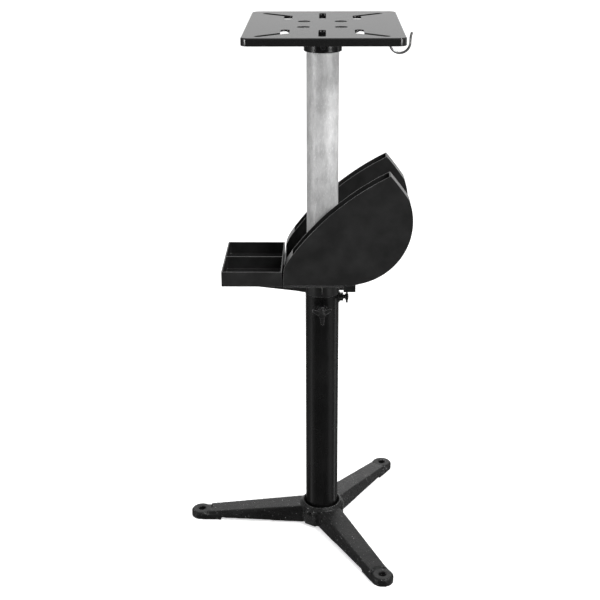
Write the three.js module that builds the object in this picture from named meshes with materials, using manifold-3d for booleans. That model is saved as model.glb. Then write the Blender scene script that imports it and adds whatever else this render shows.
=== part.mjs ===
// Height-adjustable bench-grinder pedestal: a cast tripod base, two telescoping steel tubes locked by two
// three-arm screws, a holder with a tool tray and two grinding-wheel pockets, and a slotted machine plate.
// Millimetres, +Z up. It is laid out around the column's axis with Z = 0 on the floor, and the finished
// group is then moved so that the origin is the bottom centre of its own bounding box.
import * as THREE from 'three';
import { ConvexGeometry } from 'three/addons/geometries/ConvexGeometry.js';
import { mergeVertices } from 'three/addons/utils/BufferGeometryUtils.js';
import Module from 'manifold-3d';

const wasm = await Module();
wasm.setup();

// ---------------------------------------------------------------- driving dimensions
const GAP = 0.3; // clearance between pieces that touch
const PAST = 5; // how far a cut runs past the face it opens
const ROUND = 40; // sides of a large cylinder
const PAD_SIDES = 28; // sides of a foot pad
const SMALL = 16; // sides of a small cylinder
const TINY = 12; // sides of the small screws under the holder
const FINE_CURVE = 14; // segments of a large curve in an outline
const OVERLAP = 1; // how far two joined shapes run into each other

// Column
const OUTER_TUBE = { r: 29.5, wall: 2.2, bottom: 8, top: 459.9 };
const INNER_TUBE = { r: 26.8, wall: 2.3, bottom: 280, top: 916 };

// Machine plate, a pressed sheet with a rim turned down all round
const PLATE = { x: 250, y: 318, middleX: 1.3, middleY: 2, top: 922.5, thick: 3, rim: 12.5, corner: 13 };
const PATTERN = { x: -0.8, y: -4.5 }; // middle of the plate's slots and screws
const CENTRE_SLOT = { width: 11.5, near: 65, far: 137 };
const CORNER_SLOT = { x: 57.5, width: 14, near: 61, far: 106 };
const DIAGONAL_SLOT = { width: 12, tipX: 96.5, tipY: 132.7 };
const PLATE_SCREW = { x: 30, y: 33, shankR: 5, headR: 10, sink: 0.3, end: 897 };
const PLATE_NUT = { flats: 16, height: 8 };

// Flange casting under the plate
const BOSS = { r: 31.4, bottom: 880, chamfer: 1, fillet: 1 };
const FLANGE = { r: 60, thick: 8 };
const FLANGE_SET_Z = 888.5;
const SET_SCREW = { r: 4, socket: 4, depth: 3, flangeLength: 4, baseLength: 8 };

// Hook under the plate's right edge
const HOOK = { x: 125.2, z: 892.2, bendR: 16.5, rodR: 2, tipOut: 3, tipUp: 17, weldR: 6, weldT: 3 };

// Tripod base
const LEG_ANGLE = 177.7; // degrees, the first leg
const FOOT_R = 228.6; // column axis to foot hole
const FOOT_HOLE_R = 6.5;
const PAD = { r: 19.5, start: 189.5, top: 13.8, draft: 2.5, shoulder: 10.6, spotFlat: 18, spotSlope: 5 };
const HUB = { r: 39, draft: 1, top: 38, bottom: 4, lipR: 35.6, lipTop: 42, mouthR: 34, mouthDepth: 5 };
const HUB_FLOOR_R = 24; // opening in the ledge that the outer tube stands on
const BASE_BOSS = { r: 12, out: 41, screwZ: 28 };
const LEG_ROOT = { r: 34, z: 36.5, halfTop: 19.5, under: 3, halfFoot: 23 };
const LEG_END = { r: 212, z: 15.7, halfTop: 15.2, under: 5.6, halfFoot: 19.8 };
const CORE = { from: 46, to: 180, wall: 6, endWall: 5, roof: 8, draft: 2 };

// Lock screws through the outer tube; turn 0 has one arm of the knob pointing down
const STUD_R = 4;
const LOCKS = [
  { name: 'front', angle: -90, z: 438, knobFrom: 52, turn: 3 },
  { name: 'side', angle: 0, z: 451, knobFrom: 40.2, turn: 159 },
];
const KNOB = { base: 1.5, baseR: 5.5, arm: 3.2, reach: 19, rootHalf: 4.4, tipR: 2.5, hubR: 6, dome: 1.5 };
const WELD_NUT = { flats: 13, out: 7.6 };

// Wheel pockets: a disc-shaped pouch with a squared lower corner, open along its sloping edge
const POCKET = { near: 49, far: 81.3, wall: 2.2, floor: 3.4, left: -65, bottom: 500.9, flatTo: 50 };
const DISC = { x: 40.5, z: 611, r: 109, from: -74, to: 21, cornerTo: -160, proud: 0.8 };
const MOUTH_TIP = { x: 111, z: 690.8 };
const MOUTH_LOW = { x: -50, z: 554.5 };
const TIP_BEND = { x: 130, z: 668 }; // where the end wall turns towards the tip
const MOUTH_RISE = 12.5; // how far the mouth bows out from its chord
const CORNER = { bend: 534.5, end: 524 }; // rounding of the closed corner left of the mouth

// Tool tray
const TRAY = { x0: -169.5, x1: -67.5, y: 81, z0: 499.1, z1: 525, wall: 2.2, floor: 3.2 };

// Holder bracket: a collar that rests on the outer tube, with the shelf, the arm and the ribs on it
const COLLAR = { r: 29.9, bottom: 460.2, top: 508.5 };
const SHELF = { x0: -65, x1: 37, y: 81, z0: 497.8, z1: 500.6 };
const LEFT_WALL = { thick: 2.2, top: 527 };
const ARM = { half: 10, wall: 3, root: -28, knee: -45, end: -158, zRoot: 462, zKnee: 465, zEnd: 478 };
const TRAY_SEAT = { half: 30, bottom: 496.5, top: 498.8 };
const CROSS_RIB = { x0: 36.8, x1: 57.5, y: 40, z0: 474.3, wall: 3 };
const WEB = { half: 3, z0: 464 };
const GUSSET = { half: 1, reach: 60, z0: 466 };

// Screws driven up into the pockets and the tray
const UNDER_SCREW = { r: 2.1, hole: 2.5, headR: 4, headT: 2.2, edge: 1, bite: 2.3 };
const POCKET_SCREWS = [-48, 22]; // X of the two screws under each pocket
const TRAY_SCREWS = [-140, -95]; // X of the two screws under the tray
const ARM_FLOOR_Z = 490; // where the arm's hollow ends, under the tray screws' heads

// ---------------------------------------------------------------- helpers
const deg = THREE.MathUtils.degToRad;

function solid(geometry) {
  const bare = geometry.clone();
  bare.deleteAttribute('normal');
  if (bare.getAttribute('uv')) bare.deleteAttribute('uv');
  const merged = mergeVertices(bare, 1e-4);
  return new wasm.Manifold(
    new wasm.Mesh({
      numProp: 3,
      vertProperties: new Float32Array(merged.getAttribute('position').array),
      triVerts: new Uint32Array(merged.getIndex().array),
    }),
  );
}

function geometryOf(manifold) {
  const mesh = manifold.getMesh();
  const geometry = new THREE.BufferGeometry();
  geometry.setAttribute('position', new THREE.BufferAttribute(new Float32Array(mesh.vertProperties), 3));
  geometry.setIndex(new THREE.BufferAttribute(new Uint32Array(mesh.triVerts), 1));
  return geometry;
}

const union = (...parts) => parts.reduce((all, next) => all.add(next));
const cut = (body, ...tools) => tools.reduce((left, tool) => left.subtract(tool), body);

// A solid of revolution about Z; profile points are [radius, z] and close on themselves or on the axis.
function turned(profile, sides) {
  const points = profile.map(([r, z]) => new THREE.Vector2(r, z));
  return new THREE.LatheGeometry(points, sides).rotateX(Math.PI / 2);
}

function rod(radius, z0, z1, sides = SMALL) {
  return turned([[0, z0], [radius, z0], [radius, z1], [0, z1]], sides);
}

function ring(inner, outer, z0, z1) {
  return turned([[inner, z0], [outer, z0], [outer, z1], [inner, z1], [inner, z0]], ROUND);
}

function block(x0, x1, y0, y1, z0, z1) {
  const box = new THREE.BoxGeometry(x1 - x0, y1 - y0, z1 - z0);
  return box.translate((x0 + x1) / 2, (y0 + y1) / 2, (z0 + z1) / 2);
}

function raised(shape, z0, z1, curveSegments = 6) {
  const options = { depth: z1 - z0, bevelEnabled: false, curveSegments };
  return new THREE.ExtrudeGeometry(shape, options).translate(0, 0, z0);
}

// A shape drawn in the X-Z plane, filled from y0 to y1.
function across(shape, y0, y1, curveSegments = 6) {
  return raised(shape, -y1, -y0, curveSegments).rotateX(Math.PI / 2);
}

function outline(points) {
  return new THREE.Shape(points.map(([x, y]) => new THREE.Vector2(x, y)));
}

// The wedge between two cross-sections of a bar along X, each with its half width at the top and foot.
function wedge(stations) {
  const corners = [];
  for (const { r, top, halfTop, foot, halfFoot } of stations) {
    for (const side of [-1, 1]) {
      corners.push(new THREE.Vector3(r, side * halfTop, top));
      corners.push(new THREE.Vector3(r, side * halfFoot, foot));
    }
  }
  return solid(new ConvexGeometry(corners));
}

function roundedRectangle(width, length, radius) {
  const x = width / 2 - radius;
  const y = length / 2 - radius;
  const shape = new THREE.Shape();
  shape.absarc(x, y, radius, 0, Math.PI / 2);
  shape.absarc(-x, y, radius, Math.PI / 2, Math.PI);
  shape.absarc(-x, -y, radius, Math.PI, 1.5 * Math.PI);
  shape.absarc(x, -y, radius, 1.5 * Math.PI, 2 * Math.PI);
  return shape;
}

function slotShape(from, to, width) {
  const run = Math.atan2(to.y - from.y, to.x - from.x);
  const shape = new THREE.Shape();
  shape.absarc(to.x, to.y, width / 2, run - Math.PI / 2, run + Math.PI / 2);
  shape.absarc(from.x, from.y, width / 2, run + Math.PI / 2, run + 1.5 * Math.PI);
  return shape;
}

function hexagon(flats, z0, z1) {
  return rod(flats / Math.sqrt(3), z0, z1, 6);
}

function nut(flats, bore, z0, z1) {
  return cut(solid(hexagon(flats, z0, z1)), solid(rod(bore, z0 - PAST, z1 + PAST)));
}

// Turns a piece built along +Z so that +Z points level in the given direction, at height z.
// The piece's own +X then points down.
function level(geometry, degrees, z) {
  return geometry.rotateY(Math.PI / 2).rotateZ(deg(degrees)).translate(0, 0, z);
}

// ---------------------------------------------------------------- materials
function finish(color, roughness, metalness) {
  return new THREE.MeshStandardMaterial({ color, roughness, metalness });
}
const CAST_BLACK = finish(0x141415, 0.45, 0.2);
const TUBE_BLACK = finish(0x0f0f10, 0.35, 0.2);
const PLATE_BLACK = finish(0x1a1a1b, 0.25, 0.2);
const ZINC = finish(0xa3a3a1, 0.42, 0.85);
const PLASTIC = finish(0x1c1d1f, 0.6, 0);
const SCREW_BLACK = finish(0x1f1f20, 0.4, 0.7);
const BRIGHT = finish(0x8d8d8c, 0.35, 0.9);

const model = new THREE.Group();
function add(name, shape, material) {
  const geometry = shape instanceof wasm.Manifold ? geometryOf(shape) : shape;
  const mesh = new THREE.Mesh(geometry, material);
  mesh.name = name;
  model.add(mesh);
}

// ---------------------------------------------------------------- tripod base
const LEGS = [0, 120, 240].map((turn) => LEG_ANGLE + turn);
const BETWEEN_LEGS = LEGS.map((angle) => angle + 60);

// One leg along +X: a tapered, drafted wedge, cored from below, with a foot pad at its end.
function legWithPad() {
  const stations = [LEG_ROOT, LEG_END].map((end) => ({ ...end, top: end.z, foot: end.under }));
  const core = wedge([
    { r: CORE.from, top: LEG_ROOT.z - CORE.roof, halfTop: LEG_ROOT.halfTop - CORE.wall },
    { r: CORE.to, top: LEG_END.z - CORE.endWall, halfTop: LEG_END.halfTop - CORE.wall },
  ].map((end) => ({ ...end, foot: -PAST, halfFoot: end.halfTop + CORE.draft })));
  const padFoot = new THREE.Shape();
  padFoot.moveTo(PAD.start, PAD.r).lineTo(PAD.start, -PAD.r).lineTo(FOOT_R, -PAD.r);
  padFoot.absarc(FOOT_R, 0, PAD.r, -Math.PI / 2, Math.PI / 2);
  const { top, spotFlat, spotSlope } = PAD;
  const spotFace = turned(
    [[0, top], [spotFlat, top], [spotFlat + spotSlope, top + spotSlope], [0, top + spotSlope]],
    PAD_SIDES,
  );
  const padTop = turned(
    [[0, PAST], [PAD.r, PAST], [PAD.r, PAD.shoulder], [PAD.r - PAD.draft, top], [0, top]],
    PAD_SIDES,
  );
  const hole = rod(FOOT_HOLE_R, -PAST, top + PAST);
  const atFoot = (piece) => solid(piece.translate(FOOT_R, 0, 0));
  const [spot, crown, through] = [spotFace, padTop, hole].map(atFoot);
  const pad = union(solid(raised(padFoot, 0, PAD.shoulder, 7)), crown);
  return cut(union(cut(wedge(stations), spot, core), pad), through);
}

// Round-topped boss around a set screw, standing out of the hub along +X.
function baseBoss() {
  const { r, out, screwZ } = BASE_BOSS;
  const centreZ = HUB.top - r;
  const face = new THREE.Shape();
  face.moveTo(r, HUB.bottom).lineTo(r, centreZ).absarc(0, centreZ, r, 0, Math.PI).lineTo(-r, HUB.bottom);
  const boss = raised(face, OUTER_TUBE.r, out, 5).rotateX(Math.PI / 2).rotateZ(Math.PI / 2);
  const hole = level(rod(SET_SCREW.r + GAP, 0, out + PAST), 0, screwZ);
  return { boss: solid(boss), hole: solid(hole) };
}

function tripodBase() {
  const { r, draft, top, bottom, lipR, lipTop, mouthR, mouthDepth } = HUB;
  const body = turned(
    [[0, bottom], [r + draft, bottom], [r, top], [lipR, top], [lipR, lipTop], [0, lipTop]],
    ROUND,
  );
  const bore = OUTER_TUBE.r + GAP;
  const ledge = OUTER_TUBE.bottom - GAP;
  const boreCut = turned(
    [[0, -PAST], [HUB_FLOOR_R, -PAST], [HUB_FLOOR_R, ledge], [bore, ledge], [bore, lipTop - mouthDepth],
      [mouthR, lipTop], [mouthR, lipTop + PAST], [0, lipTop + PAST]],
    ROUND,
  );
  const { boss, hole } = baseBoss();
  const turnedBy = (piece, angle) => piece.rotate([0, 0, angle]);
  const leg = legWithPad();
  const outside = union(
    solid(body),
    ...LEGS.map((angle) => turnedBy(leg, angle)),
    ...BETWEEN_LEGS.map((angle) => turnedBy(boss, angle)),
  );
  return cut(outside, solid(boreCut), ...BETWEEN_LEGS.map((angle) => turnedBy(hole, angle)));
}
add('tripod_base', tripodBase(), CAST_BLACK);

// Socket set screw along +Z from its tip.
function setScrew(tip, length) {
  const body = solid(rod(SET_SCREW.r, tip, tip + length));
  const socket = solid(hexagon(SET_SCREW.socket, tip + length - SET_SCREW.depth, tip + length + PAST));
  return geometryOf(cut(body, socket));
}
BETWEEN_LEGS.forEach((angle, i) => {
  const screw = setScrew(OUTER_TUBE.r + GAP, SET_SCREW.baseLength);
  add(`base_set_screw_${i + 1}`, level(screw, angle, BASE_BOSS.screwZ), SCREW_BLACK);
});

// ---------------------------------------------------------------- column
const tube = ({ r, wall, bottom, top }) => ring(r - wall, r, bottom, top);
const lockHoles = LOCKS.map(({ angle, z }) => {
  const hole = rod(STUD_R + GAP, 0, OUTER_TUBE.r + PAST);
  return solid(level(hole, angle, z));
});
add('outer_tube', cut(solid(tube(OUTER_TUBE)), ...lockHoles), TUBE_BLACK);
add('inner_tube', tube(INNER_TUBE), ZINC);

// Nut welded over a lock hole, with its back face shaped to the tube.
function weldNut(angle, z) {
  const body = nut(WELD_NUT.flats, STUD_R + GAP, 0, OUTER_TUBE.r + WELD_NUT.out);
  const clearOfTube = rod(OUTER_TUBE.r + GAP, z - OUTER_TUBE.r, z + OUTER_TUBE.r, ROUND);
  return cut(solid(level(geometryOf(body), angle, z)), solid(clearOfTube));
}

// Outline of the knob's three arms, which taper from the hub to round tips.
function armsShape(turn) {
  const { reach, rootHalf, tipR } = KNOB;
  const shape = new THREE.Shape();
  for (let i = 0; i < 3; i += 1) {
    const direction = deg(turn + 120 * i);
    const along = new THREE.Vector2(Math.cos(direction), Math.sin(direction));
    const side = new THREE.Vector2(-along.y, along.x);
    const tip = along.clone().multiplyScalar(reach - tipR);
    const rootFrom = along.clone().multiplyScalar(rootHalf).addScaledVector(side, -rootHalf);
    const rootTo = along.clone().multiplyScalar(rootHalf).addScaledVector(side, rootHalf);
    if (i === 0) shape.moveTo(rootFrom.x, rootFrom.y);
    else shape.lineTo(rootFrom.x, rootFrom.y);
    shape.absarc(tip.x, tip.y, tipR, direction - Math.PI / 2, direction + Math.PI / 2);
    shape.lineTo(rootTo.x, rootTo.y);
  }
  return shape;
}

// Three-arm knob along +Z: a short collar, then flat tapered arms and a low domed hub.
function knob(from, turn) {
  const { base, baseR, arm, hubR, dome } = KNOB;
  const armTop = base + arm;
  const hub = turned(
    [[0, base], [hubR, base], [hubR, armTop], [hubR - dome, armTop + dome], [0, armTop + dome]],
    SMALL,
  );
  const body = union(
    solid(rod(baseR, 0, base + OVERLAP)),
    solid(raised(armsShape(turn), base, armTop, 5)),
    solid(hub),
  );
  return geometryOf(cut(body, solid(rod(STUD_R + GAP, -PAST, armTop)))).translate(0, 0, from);
}

for (const { name, angle, z, knobFrom, turn } of LOCKS) {
  const studEnd = knobFrom + KNOB.base + KNOB.arm - GAP;
  add(`${name}_weld_nut`, weldNut(angle, z), TUBE_BLACK);
  add(`${name}_lock_stud`, level(rod(STUD_R, INNER_TUBE.r + GAP, studEnd), angle, z), SCREW_BLACK);
  add(`${name}_lock_knob`, level(knob(knobFrom, turn), angle, z), SCREW_BLACK);
}

// ---------------------------------------------------------------- head: flange, plate, screws and hook
const SHEET_UNDER = PLATE.top - PLATE.thick;
const FLANGE_TOP = SHEET_UNDER - GAP;
const FLANGE_UNDER = FLANGE_TOP - FLANGE.thick;
const plateScrewPlaces = [-1, 1].flatMap((sx) =>
  [-1, 1].map((sy) => [PATTERN.x + sx * PLATE_SCREW.x, PATTERN.y + sy * PLATE_SCREW.y]),
);

// A countersunk screw along Z with its head at the top.
function countersunk() {
  const { shankR, headR, sink, end } = PLATE_SCREW;
  const top = PLATE.top - sink;
  const cone = top - (headR - shankR);
  return turned([[0, end], [shankR, end], [shankR, cone], [headR, top], [0, top]], SMALL);
}

// The hole for that screw, wider all round and open at both ends.
function countersink() {
  const { shankR, headR, sink, end } = PLATE_SCREW;
  const top = PLATE.top - sink;
  const hole = shankR + GAP;
  const cone = top - (headR - shankR) - GAP;
  const mouth = headR + GAP;
  return turned(
    [[0, end - PAST], [hole, end - PAST], [hole, cone], [mouth, top], [mouth, top + PAST], [0, top + PAST]],
    SMALL,
  );
}
const countersinks = plateScrewPlaces.map(([x, y]) => solid(countersink().translate(x, y, 0)));

function flangeCasting() {
  const bore = INNER_TUBE.r + GAP;
  const body = turned(
    [[bore, BOSS.bottom], [BOSS.r - BOSS.chamfer, BOSS.bottom], [BOSS.r, BOSS.bottom + BOSS.chamfer],
      [BOSS.r, FLANGE_UNDER - BOSS.fillet], [BOSS.r + BOSS.fillet, FLANGE_UNDER], [FLANGE.r, FLANGE_UNDER],
      [FLANGE.r, FLANGE_TOP], [bore, FLANGE_TOP], [bore, BOSS.bottom]],
    ROUND,
  );
  const setHole = level(rod(SET_SCREW.r + GAP, 0, BOSS.r + PAST), -90, FLANGE_SET_Z);
  return cut(solid(body), solid(setHole), ...countersinks);
}
add('flange_casting', flangeCasting(), CAST_BLACK);
const flangeSetScrew = setScrew(INNER_TUBE.r + GAP, SET_SCREW.flangeLength);
add('flange_set_screw', level(flangeSetScrew, -90, FLANGE_SET_Z), SCREW_BLACK);

// The two centre slots, and four corner slots that each turn out into a diagonal.
function plateSlots() {
  const slots = [];
  for (const sy of [-1, 1]) {
    const end = CENTRE_SLOT.width / 2;
    const near = { x: 0, y: sy * (CENTRE_SLOT.near + end) };
    const far = { x: 0, y: sy * (CENTRE_SLOT.far - end) };
    slots.push(slotShape(near, far, CENTRE_SLOT.width));
    for (const sx of [-1, 1]) {
      const x = sx * CORNER_SLOT.x;
      const cornerEnd = CORNER_SLOT.width / 2;
      const start = { x, y: sy * (CORNER_SLOT.near + cornerEnd) };
      const turn = { x, y: sy * (CORNER_SLOT.far - cornerEnd) };
      slots.push(slotShape(start, turn, CORNER_SLOT.width));
      const tip = { x: sx * DIAGONAL_SLOT.tipX, y: sy * DIAGONAL_SLOT.tipY };
      slots.push(slotShape(turn, tip, DIAGONAL_SLOT.width));
    }
  }
  return slots;
}

function machinePlate() {
  const { x, y, middleX, middleY, top, thick, rim, corner } = PLATE;
  const edge = roundedRectangle(x, y, corner);
  const inside = roundedRectangle(x - 2 * thick, y - 2 * thick, corner - thick);
  const sheet = solid(raised(edge, SHEET_UNDER, top, 5));
  const skirt = cut(
    solid(raised(edge, top - rim, top - thick / 2, 5)),
    solid(raised(inside, top - rim - PAST, SHEET_UNDER, 5)),
  );
  const slots = plateSlots().map((slot) => {
    const tool = raised(slot, SHEET_UNDER - PAST, top + PAST, 6);
    return solid(tool.translate(PATTERN.x, PATTERN.y, 0));
  });
  return cut(union(sheet, skirt).translate([middleX, middleY, 0]), ...slots, ...countersinks);
}
add('machine_plate', machinePlate(), PLATE_BLACK);

plateScrewPlaces.forEach(([x, y], i) => {
  add(`plate_screw_${i + 1}`, countersunk().translate(x, y, 0), SCREW_BLACK);
  const nutTop = FLANGE_UNDER - GAP;
  const hexNut = nut(PLATE_NUT.flats, PLATE_SCREW.shankR + GAP, nutTop - PLATE_NUT.height, nutTop);
  add(`plate_nut_${i + 1}`, geometryOf(hexNut).translate(x, y, 0), BRIGHT);
});

// J-shaped rod: down from the plate, round under the rim and up outside it, with a flared tip.
function toolHook() {
  const { x, z, bendR, rodR, tipOut, tipUp, weldR, weldT } = HOOK;
  const left = x - bendR;
  const right = x + bendR;
  const bendSteps = 8;
  const top = FLANGE_TOP - OVERLAP;
  const points = [new THREE.Vector3(left, 0, top), new THREE.Vector3(left, 0, (top + z) / 2)];
  for (let i = 0; i <= bendSteps; i += 1) {
    const a = Math.PI * (1 + i / bendSteps);
    points.push(new THREE.Vector3(x + bendR * Math.cos(a), 0, z + bendR * Math.sin(a)));
  }
  points.push(new THREE.Vector3(right + tipOut / 10, 0, z + tipUp / 2));
  points.push(new THREE.Vector3(right + tipOut, 0, z + tipUp));
  const path = new THREE.CatmullRomCurve3(points, false, 'centripetal');
  const section = new THREE.Shape();
  section.absarc(0, 0, rodR, 0, 2 * Math.PI);
  const bar = new THREE.ExtrudeGeometry(section, { steps: 20, extrudePath: path, curveSegments: 4 });
  const weld = rod(weldR, FLANGE_TOP - weldT, FLANGE_TOP).translate(left, 0, 0);
  return union(solid(bar), solid(weld));
}
add('tool_hook', toolHook(), BRIGHT);

// ---------------------------------------------------------------- holder: wheel pockets, tray and bracket
// Centre, radius and ends of the shallow arc along the pocket's mouth.
function mouthArc() {
  const low = new THREE.Vector2(MOUTH_LOW.x, MOUTH_LOW.z);
  const tip = new THREE.Vector2(MOUTH_TIP.x, MOUTH_TIP.z);
  const chord = tip.clone().sub(low);
  const half = chord.length() / 2;
  const radius = (half * half + MOUTH_RISE * MOUTH_RISE) / (2 * MOUTH_RISE);
  const inward = new THREE.Vector2(chord.y, -chord.x).normalize();
  const centre = low.clone().add(tip).multiplyScalar(0.5).addScaledVector(inward, radius - MOUTH_RISE);
  const angleOf = (point) => Math.atan2(point.y - centre.y, point.x - centre.x);
  return { centre, radius, from: angleOf(tip), to: angleOf(low) };
}

// Floor, round back and end wall of a pocket, moved in by a wall and up by a floor, as far as the tip.
function pocketBack(wall, floor) {
  const tip = new THREE.Vector2(MOUTH_TIP.x, MOUTH_TIP.z);
  const bend = new THREE.Vector2(TIP_BEND.x, TIP_BEND.z);
  const run = tip.clone().sub(bend).normalize();
  const inward = new THREE.Vector2(-run.y, run.x);
  tip.addScaledVector(inward, wall);
  bend.addScaledVector(inward, wall);
  const shape = new THREE.Shape();
  shape.moveTo(POCKET.left + wall, POCKET.bottom + floor).lineTo(POCKET.flatTo, POCKET.bottom + floor);
  shape.absarc(DISC.x, DISC.z, DISC.r - wall, deg(DISC.from), deg(DISC.to));
  shape.quadraticCurveTo(bend.x, bend.y, tip.x, tip.y);
  return { shape, tip, run };
}

function pocketOutline() {
  const { shape } = pocketBack(0, 0);
  const mouth = mouthArc();
  shape.absarc(mouth.centre.x, mouth.centre.y, mouth.radius, mouth.from, mouth.to);
  shape.quadraticCurveTo(POCKET.left, CORNER.bend, POCKET.left, CORNER.end);
  return shape;
}

// The hollow follows the outline one wall inside it and runs out past the mouth.
function pocketHollow() {
  const { wall, floor } = POCKET;
  const { shape, tip, run } = pocketBack(wall, floor);
  const beyond = 40;
  shape.lineTo(tip.x + beyond * run.x, tip.y + beyond * run.y);
  shape.lineTo(MOUTH_LOW.x - beyond / 2, MOUTH_LOW.z + beyond);
  shape.lineTo(MOUTH_LOW.x + wall / 2, MOUTH_LOW.z - wall / 2);
  shape.quadraticCurveTo(POCKET.left + wall, CORNER.bend - wall / 2, POCKET.left + wall, CORNER.end);
  return shape;
}

// The squared corner outside the disc, from y0 to y1.
function besideDisc(y0, y1) {
  const beyond = POCKET.left - PAST;
  const shape = new THREE.Shape();
  shape.moveTo(beyond, POCKET.bottom - PAST).lineTo(DISC.x, POCKET.bottom - PAST);
  shape.absarc(DISC.x, DISC.z, DISC.r, deg(-90), deg(DISC.cornerTo), true);
  shape.lineTo(beyond, DISC.z);
  return solid(across(shape, y0, y1, FINE_CURVE));
}

function wheelPocket(y0, y1) {
  const { wall } = POCKET;
  const whole = solid(across(pocketOutline(), y0, y1, FINE_CURVE));
  const hollow = solid(across(pocketHollow(), y0 + wall, y1 - wall, FINE_CURVE));
  return cut(whole, hollow, besideDisc(y0 - PAST, y0 + DISC.proud), besideDisc(y1 - DISC.proud, y1 + PAST));
}

const { near, far } = POCKET;
const pocketMiddle = (near + far) / 2;
const pocketScrewPlaces = [-1, 1].flatMap((side) => POCKET_SCREWS.map((x) => [x, side * pocketMiddle]));
const trayScrewPlaces = TRAY_SCREWS.map((x) => [x, 0]);

// Blind holes up into a floor that starts at the given height.
function screwHoles(places, floorZ) {
  const top = floorZ + UNDER_SCREW.bite + GAP;
  return places.map(([x, y]) => solid(rod(UNDER_SCREW.hole, floorZ - PAST, top, TINY).translate(x, y, 0)));
}
const pocketHoles = screwHoles(pocketScrewPlaces, POCKET.bottom);
add('front_wheel_pocket', cut(wheelPocket(-far, -near), ...pocketHoles), PLASTIC);
add('rear_wheel_pocket', cut(wheelPocket(near, far), ...pocketHoles), PLASTIC);

function toolTray() {
  const { x0, x1, y, z0, z1, wall, floor } = TRAY;
  const divider = wall / 2;
  return cut(
    solid(block(x0, x1, -y, y, z0, z1)),
    solid(block(x0 + wall, x1 - wall, -y + wall, -divider, z0 + floor, z1 + PAST)),
    solid(block(x0 + wall, x1 - wall, divider, y - wall, z0 + floor, z1 + PAST)),
    ...screwHoles(trayScrewPlaces, z0),
  );
}
add('tool_tray', toolTray(), PLASTIC);

function holderBracket() {
  const seatEnd = SHELF.x0 + PAST;
  const shelf = block(SHELF.x0, SHELF.x1, -SHELF.y, SHELF.y, SHELF.z0, SHELF.z1);
  const collar = rod(COLLAR.r, COLLAR.bottom, COLLAR.top, ROUND);
  const bore = rod(INNER_TUBE.r + GAP, COLLAR.bottom - PAST, COLLAR.top + PAST, ROUND);
  const wallY = POCKET.near - GAP;
  const leftWall = block(SHELF.x0, SHELF.x0 + LEFT_WALL.thick, -wallY, wallY, SHELF.z0, LEFT_WALL.top);
  const { half, bottom: seatBottom, top: seatTop } = TRAY_SEAT;
  const traySeat = block(ARM.end, seatEnd, -half, half, seatBottom, seatTop);
  const armSide = outline([
    [ARM.root, ARM.zRoot],
    [ARM.knee, ARM.zKnee],
    [ARM.end, ARM.zEnd],
    [ARM.end, seatTop],
    [ARM.root, seatTop],
  ]);
  const armInside = ARM.half - ARM.wall;
  const hollowEnd = ARM.end + 2 * ARM.wall;
  const armHollow = block(hollowEnd, ARM.knee - ARM.wall, -armInside, armInside, 0, ARM_FLOOR_Z);
  const { x0, x1, y, z0, wall } = CROSS_RIB;
  const rib = block(x0, x1, -y, y, z0, SHELF.z1);
  const ribHollow = block(x0 + wall, x1 - wall, -y + wall, y - wall, z0 - PAST, SHELF.z0);
  const inCollar = (COLLAR.r + INNER_TUBE.r + GAP) / 2;
  const web = block(inCollar, x0 + OVERLAP, -WEB.half, WEB.half, WEB.z0, SHELF.z0 + OVERLAP);
  const gussetSide = outline([
    [inCollar, GUSSET.z0],
    [COLLAR.r, GUSSET.z0],
    [GUSSET.reach, SHELF.z0 + OVERLAP],
    [inCollar, SHELF.z0 + OVERLAP],
  ]);
  const gusset = solid(across(gussetSide, -GUSSET.half, GUSSET.half));
  const body = union(
    ...[shelf, collar, leftWall, traySeat, rib, web].map(solid),
    cut(solid(across(armSide, -ARM.half, ARM.half)), solid(armHollow)),
    gusset.rotate([0, 0, 90]),
    gusset.rotate([0, 0, -90]),
  );
  const clearHoles = [...pocketScrewPlaces, ...trayScrewPlaces].map(([x, y0]) =>
    solid(rod(UNDER_SCREW.hole, ARM_FLOOR_Z - PAST, SHELF.z1 + PAST, TINY).translate(x, y0, 0)),
  );
  return cut(body, solid(ribHollow), solid(bore), ...clearHoles);
}
add('holder_bracket', holderBracket(), PLASTIC);

// Pan-headed screw driven upwards, with its head under headZ and its bite in the floor at floorZ.
function underScrew([x, y], headZ, floorZ) {
  const { r, headR, headT, edge, bite } = UNDER_SCREW;
  const under = headZ - GAP;
  const crown = under - headT;
  const profile = [[0, crown], [headR - edge, crown], [headR, crown + edge], [headR, under], [r, under]];
  return turned([...profile, [r, floorZ + bite], [0, floorZ + bite]], TINY).translate(x, y, 0);
}
pocketScrewPlaces.forEach((place, i) => {
  add(`pocket_screw_${i + 1}`, underScrew(place, SHELF.z0, POCKET.bottom), SCREW_BLACK);
});
trayScrewPlaces.forEach((place, i) => {
  add(`tray_screw_${i + 1}`, underScrew(place, ARM_FLOOR_Z, TRAY.z0), SCREW_BLACK);
});

// ---------------------------------------------------------------- origin
const bounds = new THREE.Box3().setFromObject(model, true);
const centre = bounds.getCenter(new THREE.Vector3());
model.position.set(-centre.x, -centre.y, -bounds.min.z);

export default model;
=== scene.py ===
# Bench-grinder pedestal: the looks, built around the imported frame. Metres, +Z up, in the frame's own axes.
# Shapes are made in millimetres around the column's axis, with Z = 0 on the floor, and moved into the
# frame by finished(). Every size that the frame gives is read from it.
import math

import bmesh
import bpy
from mathutils import Matrix, Vector


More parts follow.
